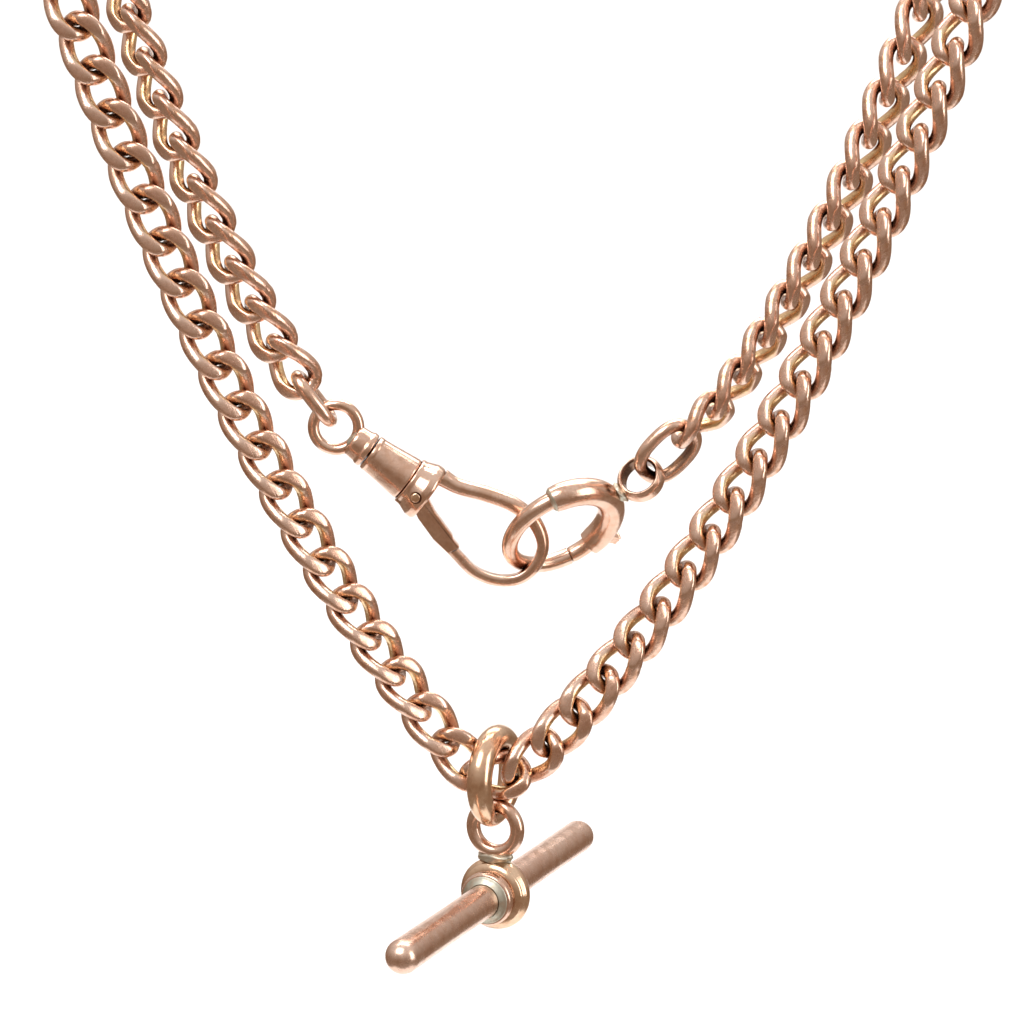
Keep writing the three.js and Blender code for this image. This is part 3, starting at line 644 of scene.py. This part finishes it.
add_piece(
    "link_middle",
    LINK_MESHES[0],
    "outer_lower",
    LINKS,
    link_matrix(MIDDLE - half_link, MIDDLE + half_link, Vector((0, -1, 0))),
    ["middle_link"],
)
for side, (start, end, links) in HALVES.items():
    outer, inner = f"outer_{side}", f"inner_{side}"
    stops, fold_z = fit_half(STRANDS[outer], STRANDS[inner], start, end, links)
    faces = link_faces(stops, TWIST[outer], TWIST[inner], fold_z)
    for node in sorted(BODY_OF):
        match = re.search(rf"_{side}_links?_(\d+)(?:_to_(\d+))?$", node)
        if not match:
            continue
        first = int(match[1])
        for number in range(first, int(match[2] or first) + 1):
            add_piece(
                f"link_{side}_{number:02d}",
                LINK_MESHES[number % VARIANTS],
                BODY_OF[node],
                LINKS,
                link_matrix(stops[number - 1], stops[number], faces[number - 1]),
                [node],
            )


# ---------------------------------------------------------------- plain links

def plain_link_mesh(name, inner_length, wire, half_width, taper):
    """A flat oval link of round wire, worn a little thinner at its ends."""
    rings, sides = 96, 24
    angles = np.linspace(0, 2 * math.pi, rings, endpoint=False)
    half_length = inner_length / 2 + wire + 2 * GAP

    def full(values):
        return np.sign(values) * np.abs(values) ** 0.8

    path = np.stack([half_width * full(np.cos(angles)), half_length * full(np.sin(angles)), 0 * angles], -1)
    outward = np.stack([np.cos(angles), np.sin(angles), np.zeros(rings)], -1)
    around = np.linspace(0, 2 * math.pi, sides, endpoint=False)
    thin = 1 - taper * np.abs(np.sin(angles)) ** 6
    sections = np.stack(
        [wire * thin[:, None] * np.cos(around), wire * thin[:, None] * np.sin(around)], -1
    )
    return make_mesh(name, *sweep(path, outward, sections, True), 60.0)


for name, low, high, wire, half_width, turn in (
    ("jump_link", jump_low, jump_high, 0.6, 1.45, 90),
    ("oval_link", oval_low, oval_high, 0.58, 2.1, 34),
):
    mesh = plain_link_mesh(name + "_fine", (high - low).length, wire, half_width, 0.05)
    along = (high - low).normalized()
    face = turned_face(Vector((0, -1, 0)), along, math.radians(turn))
    add_piece(name + "_fine", mesh, "clasp_ends", OVAL, link_matrix(low, high, face), [name])

# ---------------------------------------------------------------- dog clip

CLIP = placed(CLIP_ORIGIN, Matrix.Rotation(-CLIP_SLOPE, 3, "Y"))


def torus_mesh(name, radius, wire):
    """A ring in the local XZ plane."""
    rings, sides = 96, 28
    angles = np.linspace(0, 2 * math.pi, rings, endpoint=False)
    path = np.stack([radius * np.cos(angles), 0 * angles, radius * np.sin(angles)], -1)
    return make_mesh(name, *sweep(path, path, circle(wire, sides), True), 60.0)


def clip_piece(name, mesh, body, nodes=(), material=ROSE):
    """A piece of the clip: x runs from its eye to its nose."""
    add_piece(name, mesh, body, material, CLIP, nodes)


clip_piece("clip_eye_fine", torus_mesh("clip_eye_fine", EYE_RADIUS, EYE_WIRE), "clasp", ["clip_eye"])
cap_profile = fillet(
    [
        (1.72, 0.0), (1.72, 1.3), (1.95, 1.42), (2.9, 1.5), (3.05, 1.62), (3.44, 1.62), (3.52, 1.5),
        (3.52, 0.0),
    ],
    0.1,
)
clip_piece("clip_cap_fine", make_mesh("clip_cap_fine", *lathe(cap_profile)), "clasp", ["clip_swivel_cap"])
cap_solder = blob("clip_cap_solder", (1.78, 0, 0), (0.3, 0.95, 1.2), 0.25, 3.1)
clip_piece("clip_cap_solder", cap_solder, "clasp", (), SOLDER)

BARREL_OUTER = [(3.6, 1.35), (3.66, 1.6), (3.95, 1.66), (4.1, 1.62), (5.2, 1.72), (7.55, 2.0), (7.7, 1.94)]
BARREL_BORE = [(7.72, 1.86), (9.9, 1.86), (9.9, 1.46), (7.7, 1.46), (4.75, 1.22), (4.75, 0.56)]
barrel_profile = fillet([(3.6, 0.56), *BARREL_OUTER, *BARREL_BORE], 0.08, closed=True)
gate_slot = box_mesh((8.1, -0.8, -3.2), (11, 0.8, 1.15))
notch = box_mesh((7.86, -1.4, -3.2), (8.3, -0.85, -1.5))
barrel = carve(make_mesh("clip_barrel_fine", *lathe(barrel_profile, loop=True)), [gate_slot])
clip_piece("clip_barrel_fine", barrel, "clip_body", ["clip_barrel"])
ferrule_profile = fillet(
    [
        (7.76, 1.92), (7.76, 2.1), (7.84, 2.2), (8.2, 2.22), (9.15, 2.6), (9.7, 2.62), (9.95, 2.45),
        (9.95, 1.92),
    ],
    0.1,
    closed=True,
)
PIVOT = np.array([8.97, 0, -0.53])


def across(profile):
    """A turned solid lying along Y through the gate's pivot."""
    verts, faces = lathe(profile, 40)
    return verts[:, [2, 0, 1]] + PIVOT, faces


rivet_groove = make_mesh("rivet_groove", *across([(-3.2, 0.0), (-3.2, 0.53), (-2.2, 0.53), (-2.2, 0.0)]))
ferrule = make_mesh("clip_ferrule_fine", *lathe(ferrule_profile, loop=True))
ferrule = carve(ferrule, [gate_slot, notch, rivet_groove])
clip_piece("clip_ferrule_fine", ferrule, "clip_body", ["clip_ferrule"])

rivet_profile = fillet(
    [(-2.55, 0.0), (-2.55, 0.34), (-2.45, 0.42), (2.45, 0.42), (2.55, 0.34), (2.55, 0.0)], 0.08
)
rivet = make_mesh("clip_gate_pin_fine", *across(rivet_profile))
clip_piece("clip_gate_pin_fine", rivet, "clip_body", ["clip_gate_pin"], YELLOW)

gate_outline = fillet(
    [
        (8.0, -0.3), (8.55, 0.18), (9.4, 0.12), (11.2, -0.85), (13.7, -1.66), (13.85, -1.85), (14.8, -2.1),
        (14.3, -3.15), (12.6, -2.92), (10.4, -2.2), (8.7, -1.25),
    ],
    0.14,
    closed=True,
)
gate = bevelled_plate("clip_gate_fine", gate_outline, 0.66, 0.14)
clip_piece("clip_gate_fine", gate, "gate", ["clip_gate"])


def centripetal(points, samples):
    """A centripetal Catmull-Rom curve through the points."""
    points = [np.asarray(p, float) for p in points]
    points = [2 * points[0] - points[1], *points, 2 * points[-1] - points[-2]]
    spans = len(points) - 3
    out = []
    for s in range(samples):
        u = s / (samples - 1) * spans
        i = min(int(u), spans - 1)
        near = points[i : i + 4]
        knots = [0.0]
        for a, b in zip(near, near[1:]):
            knots.append(knots[-1] + max(np.linalg.norm(b - a), 1e-6) ** 0.5)
        t = knots[1] + (u - i) * (knots[2] - knots[1])

        def between(a, b, low, high):
            return a * (high - t) / (high - low) + b * (t - low) / (high - low)

        first = [between(near[k], near[k + 1], knots[k], knots[k + 1]) for k in range(3)]
        second = [between(first[k], first[k + 1], knots[k], knots[k + 2]) for k in range(2)]
        out.append(between(*second, knots[1], knots[2]))
    return np.array(out)


# the middle of the hook's wire, in the clip's x and z, from its root round to its nose
HOOK_ROUTE = [
    (10.02, 1.86), (11.4, 2.02), (14.1, 3.02), (16.4, 3.62), (18.6, 3.46), (20.34, 2.3), (20.94, 0.5),
    (20.56, -1.2), (19.1, -2.5), (17.1, -3.05), (14.95, -2.72),
]
HOOK_FLAT = 0.36  # from the wire's middle to its flat inner face
HOOK_LEAN = 38  # degrees that the section leans at the root
NOSE_REACH, NOSE_SLANT, NOSE_RINGS = 0.36, 0.32, 6  # the nose runs on to the gate's slanted end


def hook_mesh():
    """The hook's wire: round outside, flat inside, leaning along its upper limb, its nose cut aslant."""
    route = centripetal([(s, 0.0, t) for s, t in HOOK_ROUTE], 130)
    tangent = unit(np.gradient(route, axis=0))
    outward = np.stack([-tangent[:, 2], 0 * tangent[:, 1], tangent[:, 0]], -1)
    around = np.linspace(0, 2 * math.pi, 40, endpoint=False)
    place = np.linspace(0, 1, len(route))
    size = 0.72 - 0.09 * place + 0.08 * np.exp(-((place / 0.05) ** 2))
    inside = -size[:, None] * np.cos(around)[None, :]
    soft = 0.1
    flattened = HOOK_FLAT - soft + soft * np.tanh((inside - HOOK_FLAT + soft) / soft)
    inside = np.where(inside > HOOK_FLAT - soft, flattened, inside)
    depth = size[:, None] * np.sin(around)[None, :]
    lean = np.radians(HOOK_LEAN) * np.clip((0.52 - place) / 0.2, 0, 1)[:, None]
    sections = np.stack(
        [-inside * np.cos(lean) - depth * np.sin(lean), -inside * np.sin(lean) + depth * np.cos(lean)], -1
    )
    verts, faces = sweep(route, outward, sections, False)
    verts = verts.reshape(len(route), len(around), 3)
    for back in range(1, NOSE_RINGS + 1):
        reach = NOSE_REACH + NOSE_SLANT * sections[-back][:, 0]
        verts[-back] += tangent[-1] * (reach * (NOSE_RINGS + 1 - back) / NOSE_RINGS)[:, None]
    return make_mesh("clip_hook_fine", verts.reshape(-1, 3), faces, 50.0)


clip_piece("clip_hook_fine", hook_mesh(), "clip_body", ["clip_hook"])
hook_solder = blob("clip_hook_solder", (10.1, 0, 2.0), (0.32, 0.72, 0.5), 0.3, 7.7)
clip_piece("clip_hook_solder", hook_solder, "clip_body", (), SOLDER)

# ---------------------------------------------------------------- bolt ring

BOLT = placed(BOLT_CENTRE, Matrix((ring_across, ring_aside, ring_normal)).transposed())


def ring_path(start, end, count):
    """Points on the bolt ring's middle line between two angles in degrees."""
    angles = np.radians(np.linspace(start, end, count))
    return np.stack([BOLT_RADIUS * np.cos(angles), BOLT_RADIUS * np.sin(angles), 0 * angles], -1)


def bolt_piece(name, mesh, body, nodes=(), material=ROSE):
    """A piece of the bolt ring: x runs from its middle to its eye, and z along its axis."""
    add_piece(name, mesh, body, material, BOLT, nodes)


def lug_box(angle_from, angle_to, low, high, half_width):
    """A box across the ring between two angles and two radii, to cut the lug's slot with."""
    turn = Matrix.Rotation(math.radians((angle_from + angle_to) / 2), 4, "Z")
    chord = high * math.sin(math.radians(angle_to - angle_from) / 2)
    return box_mesh((low, -chord, -half_width), (high, chord, half_width), turn)


def tube_mesh():
    """A hollow tube round part of the ring, its two ends turned in slightly."""
    count, sides = 110, 40
    path = ring_path(TUBE_FROM, TUBE_TO, count)
    ends = np.minimum(np.arange(count), np.arange(count)[::-1]) / 4.0
    outer = TUBE_OUTER - 0.07 * np.exp(-(ends**2))
    skin, _ = sweep(path, path, np.stack([circle(r, sides) for r in outer]), False)
    bore, _ = sweep(path, path, circle(TUBE_BORE, sides), False)
    verts = np.concatenate([skin, bore])
    offset = count * sides
    faces = []
    for i in range(count - 1):
        for j in range(sides):
            k = (j + 1) % sides
            a, b = i * sides, (i + 1) * sides
            faces.append((a + j, a + k, b + k, b + j))
            faces.append((offset + a + j, offset + b + j, offset + b + k, offset + a + k))
    for base in (0, (count - 1) * sides):
        for j in range(sides):
            k = (j + 1) % sides
            faces.append((base + j, base + k, offset + base + k, offset + base + j))
    return make_mesh("bolt_ring_tube_fine", verts, faces, 40.0)


SLOT_FROM, SLOT_SPAN, SLOT_HALF_WIDTH = LUG_ANGLE - 7, 17.0, 0.62
slots = [
    lug_box(
        SLOT_FROM + SLOT_SPAN * i, SLOT_FROM + SLOT_SPAN * (i + 1), BOLT_RADIUS + 0.5, BOLT_RADIUS + 2,
        SLOT_HALF_WIDTH,
    )
    for i in range(3)
]
bolt_piece("bolt_ring_tube_fine", carve(tube_mesh(), slots), "clasp", ["bolt_ring_tube"])
wire_radii = 0.76 - 0.05 * np.sin(np.linspace(0, math.pi, 120))
wire_sections = np.stack([circle(r, 32) for r in wire_radii])
wire_path = ring_path(79, 258, 120)
wire_mesh = make_mesh("bolt_ring_wire_fine", *sweep(wire_path, wire_path, wire_sections, False), 50.0)
bolt_piece("bolt_ring_wire_fine", wire_mesh, "clasp", ["bolt_ring_wire"])
seam_path = ring_path(76.2, 80.5, 14)
seam_radii = np.linspace(1.14, 0.79, 14) + 0.05 * np.sin(np.linspace(0, math.pi, 14))
seam_sections = np.stack([circle(r, 40) for r in seam_radii])
seam_mesh = make_mesh("bolt_ring_seam_solder", *sweep(seam_path, seam_path, seam_sections, False), 50.0)
bolt_piece("bolt_ring_seam_solder", seam_mesh, "clasp", (), SOLDER)

bolt_path = ring_path(-101.2, -48, 60)
bolt_radii = 0.73 - 0.12 * np.exp(-np.arange(60) / 1.2)
bolt_sections = np.stack([circle(r, 32) for r in bolt_radii])
bolt_mesh = make_mesh("bolt_rod_fine", *sweep(bolt_path, bolt_path, bolt_sections, False), 50.0)
bolt_piece("bolt_rod_fine", bolt_mesh, "bolt", ["bolt_ring_bolt"])


def thumb_lug_mesh():
    """A small ribbed tab on the bolt, for the thumbnail."""
    outline = [(-0.42, 0.72), (-0.42, 1.9), (-0.5, 2.1), (-0.34, 2.3), (-0.17, 2.16), (0.0, 2.34)]
    outline += [(-x, z) for x, z in reversed(outline[:-1])]
    mesh = bevelled_plate("bolt_lug_fine", fillet(outline, 0.05, 3, True), 0.5, 0.07)
    turn = Matrix.Rotation(math.radians(LUG_ANGLE), 4, "Z")
    axes = Matrix(((0, 0, 1), (1, 0, 0), (0, 1, 0))).to_4x4()
    mesh.transform(turn @ Matrix.Translation((BOLT_RADIUS * MM, 0, 0)) @ axes)
    return mesh


bolt_piece("bolt_lug_fine", thumb_lug_mesh(), "bolt")

band_half = BAND_WIDTH / 2
band_profile = fillet(
    [
        (-band_half * 0.8, BAND_INNER),
        (-band_half, BAND_INNER + 0.22),
        (-band_half * 0.92, BAND_OUTER - 0.3),
        (-band_half * 0.5, BAND_OUTER - 0.05),
        (0, BAND_OUTER),
        (band_half * 0.5, BAND_OUTER - 0.05),
        (band_half * 0.92, BAND_OUTER - 0.3),
        (band_half, BAND_INNER + 0.22),
        (band_half * 0.8, BAND_INNER),
        (0, BAND_INNER - 0.02),
    ],
    0.16,
    closed=True,
)
band_turn = math.radians(BAND_TURN) - BOLT_TILT
band_matrix = (
    BOLT
    @ Matrix.Translation((BAND_DISTANCE * MM, 0, 0))
    @ Matrix.Rotation(band_turn, 4, "X")
    @ Matrix.Rotation(math.pi / 2, 4, "Y")
)
band_mesh = make_mesh("bolt_ring_eye_fine", *lathe(band_profile, loop=True))
add_piece("bolt_ring_eye_fine", band_mesh, "clasp", EYE, band_matrix, ["bolt_ring_eye"])
eye_solder = blob("bolt_ring_eye_solder", (6.03, 0.05, 0.1), (0.42, 0.92, 0.86), 0.3, 1.3)
bolt_piece("bolt_ring_eye_solder", eye_solder, "clasp", (), SOLDER)

# ---------------------------------------------------------------- T-bar and its ring


def worn_ring_mesh():
    """The T-bar ring, worn thin where the loop has hung on it."""
    rings, sides = 140, 40
    angles = np.linspace(0, 2 * math.pi, rings, endpoint=False)
    wear = np.clip(-np.sin(angles), 0, 1) ** 4
    tube = RING_TUBE * (1 + (RING_WORN / RING_TUBE - 1) * wear)
    radius = RING_OUTER - tube
    path = np.stack([radius * np.cos(angles), 0 * angles, radius * np.sin(angles)], -1)
    outward = np.stack([np.cos(angles), 0 * angles, np.sin(angles)], -1)
    sections = np.stack([circle(r, sides) for r in tube])
    return make_mesh("t_bar_ring_fine", *sweep(path, outward, sections, True), 60.0)


ring_place = placed(Vector((RING_X, OUTER_Y, RING_Z)), Matrix.Rotation(math.pi / 2 - BAR_TURN, 3, "Z"))
add_piece("t_bar_ring_fine", worn_ring_mesh(), "t_ring", YELLOW, ring_place, ["t_bar_ring"])

T_BAR = placed(Vector((RING_X, OUTER_Y, BAR_Z)), Matrix.Rotation(-BAR_TURN, 3, "Z"))
ALONG_BAR = Matrix.Rotation(math.pi / 2, 4, "Z")


def bar_piece(name, mesh, nodes=(), material=ROSE_BAR, extra=Matrix.Identity(4)):
    """A piece of the T-bar: y runs along the bar, and the loop stands up along z."""
    add_piece(name, mesh, "t_bar", material, T_BAR @ extra, nodes)


loop_mesh = torus_mesh("t_bar_loop_fine", LOOP_RADIUS, LOOP_WIRE)
loop_lift = Matrix.Translation((0, 0, (LOOP_Z - BAR_Z) * MM))
bar_piece("t_bar_loop_fine", loop_mesh, ["t_bar_loop"], ROSE, extra=loop_lift)
loop_solder = blob("t_bar_loop_solder", (0, 0, 3.26), (1.6, 0.85, 0.6), 0.3, 5.2)
bar_piece("t_bar_loop_solder", loop_solder, (), SOLDER)


def bar_mesh():
    """A round bar with domed ends, rubbed a little thinner along the middle of each half."""
    half = BAR_LENGTH / 2
    straight = half - BAR_RADIUS
    steps = 14
    dome = []
    for i in range(1, steps):
        angle = math.pi / 2 * i / steps
        dome.append((straight + BAR_RADIUS * math.cos(angle), BAR_RADIUS * math.sin(angle)))
    profile = [(-half, 0.0), *((-x, radius) for x, radius in dome)]
    for x in np.linspace(-straight, straight, 90):
        worn = 0.035 * math.exp(-(((x + 9.5) / 4.0) ** 2)) + 0.03 * math.exp(-(((x - 10.0) / 4.5) ** 2))
        profile.append((x, BAR_RADIUS - worn))
    profile += [*reversed(dome), (half, 0.0)]
    return make_mesh("t_bar_rod_fine", *lathe(profile, 72), 50.0)


bar_piece("t_bar_rod_fine", bar_mesh(), ["t_bar_rod"], extra=ALONG_BAR)

BEAD, BEAD_MIDDLE, COLLAR_BORE = 1.15, 2.05, 1.54
GROOVE_AT, GROOVE_DEPTH, GROOVE_WIDTH = 0.62, 0.14, 0.11
bead_profile = [(-BEAD, COLLAR_BORE)]
bead_steps = 24
for i in range(bead_steps + 1):
    angle = math.pi * i / bead_steps
    x, radius = -BEAD * math.cos(angle), BEAD_MIDDLE + BEAD * math.sin(angle)
    for groove in (-GROOVE_AT, GROOVE_AT):
        radius -= GROOVE_DEPTH * math.exp(-(((x - groove) / GROOVE_WIDTH) ** 2))
    bead_profile.append((x, radius))
bead_profile.append((BEAD, COLLAR_BORE))
bead_mesh = make_mesh("t_bar_bead_fine", *lathe(bead_profile, 128, True), 50.0)
bar_piece("t_bar_bead_fine", bead_mesh, ["t_bar_collar_bead"], YELLOW, ALONG_BAR)
for name, node, sign in (
    ("t_bar_near_ring_fine", "t_bar_collar_near_ring", -1),
    ("t_bar_far_ring_fine", "t_bar_collar_far_ring", 1),
):
    outline = [(1.21, COLLAR_BORE), (1.21, 2.2), (1.5, 2.4), (2.05, 2.36), (2.26, 2.2), (2.26, 1.95)]
    profile = fillet([*outline, (2.05, COLLAR_BORE)], 0.12, closed=True)
    profile = [(sign * x, radius) for x, radius in profile]
    bar_piece(name, make_mesh(name, *lathe(profile, 128, True)), [node], ROSE_BAR, ALONG_BAR)
    fill = fillet([(2.0, 1.49), (2.0, 2.16), (2.3, 2.1), (2.4, 1.86), (2.7, 1.49)], 0.1, closed=True)
    fill = [(sign * x, radius) for x, radius in fill]
    solder_name = name.replace("ring_fine", "solder")
    bar_piece(solder_name, make_mesh(solder_name, *lathe(fill, 96, True)), (), SOLDER, ALONG_BAR)

# pieces that keep their CAD shape, inside the clip and the bolt ring
for node, material in (("clip_swivel_pin", YELLOW), ("clip_gate_spring", STEEL), ("bolt_ring_spring", STEEL)):
    item = frame["nodes"][node]
    item.data.materials.clear()
    item.data.materials.append(material)

# ---------------------------------------------------------------- floor, light and camera


def plain(name, colour, rough):
    """Matt paint with a faint mottle."""
    material = bpy.data.materials.new(name)
    material.use_nodes = True
    tree = material.node_tree
    shader = tree.nodes["Principled BSDF"]
    shader.inputs["Roughness"].default_value = rough
    mottle = add(tree, "ShaderNodeTexNoise", Scale=6.0, Detail=2.0)
    darker = tuple(c * 0.985 for c in colour[:3]) + (1,)
    tree.links.new(mix(tree, mottle.outputs[0], colour, darker), shader.inputs["Base Color"])
    return material


def sweep_backdrop():
    """Floor and back wall in one piece, joined by a wide curve."""
    floor_z, wall_y, bend, half_width = -0.30, 0.62, 0.3, 0.2
    line = [(-0.1, floor_z), (wall_y - bend, floor_z)]
    for i in range(1, 17):
        angle = math.pi / 2 * i / 16
        line.append((wall_y - bend + bend * math.sin(angle), floor_z + bend - bend * math.cos(angle)))
    line.append((wall_y, 0.06))
    verts = [(x / MM, y / MM, z / MM) for y, z in line for x in (-half_width, half_width)]
    faces = [(2 * i, 2 * i + 1, 2 * i + 3, 2 * i + 2) for i in range(len(line) - 1)]
    item = bpy.data.objects.new("backdrop", make_mesh("backdrop", verts, faces))
    item.data.materials.append(plain("backdrop_white", (0.95, 0.95, 0.95, 1), 0.9))
    bpy.context.scene.collection.objects.link(item)


sweep_backdrop()


def area_light(name, place, target, size, power):
    """A softbox at `place`, looking at `target`."""
    data = bpy.data.lights.new(name, "AREA")
    data.shape = "RECTANGLE"
    data.size, data.size_y = size
    data.energy = power
    item = bpy.data.objects.new(name, data)
    bpy.context.scene.collection.objects.link(item)
    item.location = place
    item.rotation_euler = (Vector(target) - Vector(place)).to_track_quat("-Z", "Y").to_euler()


CENTRE = (0.0, 0.0, -0.056)
area_light("key", (-0.18, -0.30, 0.30), CENTRE, (0.30, 0.26), 1.25)
area_light("fill", (0.40, -0.20, 0.02), CENTRE, (0.16, 0.36), 0.6)
area_light("rim", (0.06, 0.36, 0.30), CENTRE, (0.4, 0.16), 0.7)
area_light("wall_wash", (0.0, 0.18, 0.5), (0.0, 0.62, -0.1), (0.6, 0.2), 3.1)

# the room: dark and warm low down, pale overhead
ROOM = [
    (0.0, (0.30, 0.25, 0.21)), (0.40, (0.22, 0.155, 0.11)), (0.58, (0.36, 0.31, 0.27)),
    (0.85, (0.62, 0.60, 0.58)),
]
world = bpy.data.worlds.new("studio")
bpy.context.scene.world = world
world.use_nodes = True
sky = world.node_tree
sky.nodes.clear()
world_out = sky.nodes.new("ShaderNodeOutputWorld")
background = sky.nodes.new("ShaderNodeBackground")
direction = sky.nodes.new("ShaderNodeTexCoord").outputs["Generated"]
split = sky.nodes.new("ShaderNodeSeparateXYZ")
sky.links.new(direction, split.inputs[0])
height = add(sky, "ShaderNodeMapRange")
height.inputs["From Min"].default_value = -1.0
sky.links.new(split.outputs["Z"], height.inputs["Value"])
tone = ramp(sky, height.outputs[0], ROOM)
sky.links.new(tone, background.inputs["Color"])
background.inputs["Strength"].default_value = 1.25
sky.links.new(background.outputs[0], world_out.inputs[0])

camera_data = bpy.data.cameras.new("camera")
camera_data.lens = 114.75
camera_data.sensor_width = 36.0
camera_data.clip_start = 0.01
camera = bpy.data.objects.new("camera", camera_data)
bpy.context.scene.collection.objects.link(camera)
tilt, distance = math.radians(11), 0.28
camera.location = Vector(CENTRE) + distance * Vector((0, -math.cos(tilt), math.sin(tilt)))
camera.rotation_euler = (math.pi / 2 - tilt, 0, 0)
bpy.context.scene.camera = camera
bpy.context.scene.view_settings.view_transform = "Standard"
